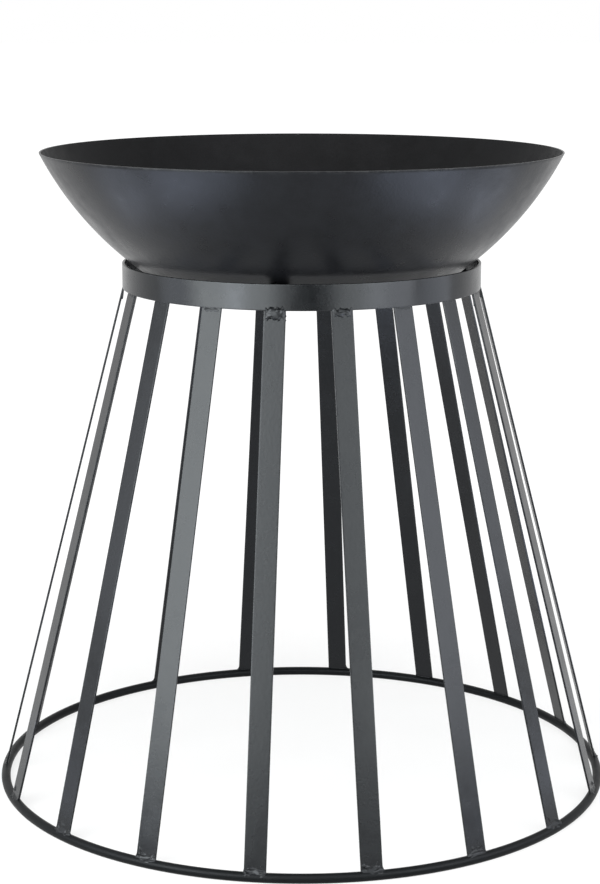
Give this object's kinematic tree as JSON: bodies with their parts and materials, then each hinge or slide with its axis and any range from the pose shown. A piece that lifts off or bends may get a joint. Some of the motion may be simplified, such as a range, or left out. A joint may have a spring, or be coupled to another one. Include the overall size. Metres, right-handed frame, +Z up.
{
  "type": "fire bowl",
  "caption": "Round dished steel fire bowl that lifts out of a flared open stand of leaning flat bars between a top hoop and a round foot ring.",
  "frame": {"origin": "on the ground, under the middle of the foot ring", "axes": "+Z up along the axis of the bowl and the stand; -Y is the front, midway between two slats; +X to the right seen from the front"},
  "size_m": [0.6029, 0.603, 0.62],
  "materials": {
    "bowl_paint": "satin dark grey heat resistant paint on spun sheet steel",
    "stand_paint": "satin dark grey heat resistant paint on steel bar",
    "weld_paint": "the stand's paint over rough weld metal"
  },
  "bodies": {
    "stand": {"top_band": "stand_paint", "foot_ring": "stand_paint", "slat_01": "stand_paint", "slat_02": "stand_paint", "slat_03": "stand_paint", "slat_04": "stand_paint", "slat_05": "stand_paint", "slat_06": "stand_paint", "slat_07": "stand_paint", "slat_08": "stand_paint", "slat_09": "stand_paint", "slat_10": "stand_paint", "slat_11": "stand_paint", "slat_12": "stand_paint", "slat_13": "stand_paint", "slat_14": "stand_paint", "slat_15": "stand_paint", "slat_16": "stand_paint", "slat_17": "stand_paint", "slat_18": "stand_paint", "bowl_rest_1": "stand_paint", "bowl_rest_2": "stand_paint", "bowl_rest_3": "stand_paint", "head_welds": "weld_paint", "foot_welds": "weld_paint"},
    "bowl": {"bowl": "bowl_paint"}
  },
  "joints": [
    {"name": "bowl_lift", "type": "slide", "parent": "stand", "child": "bowl", "axis": [0, 0, 1], "range_m": [0, 0.2]}
  ]
}
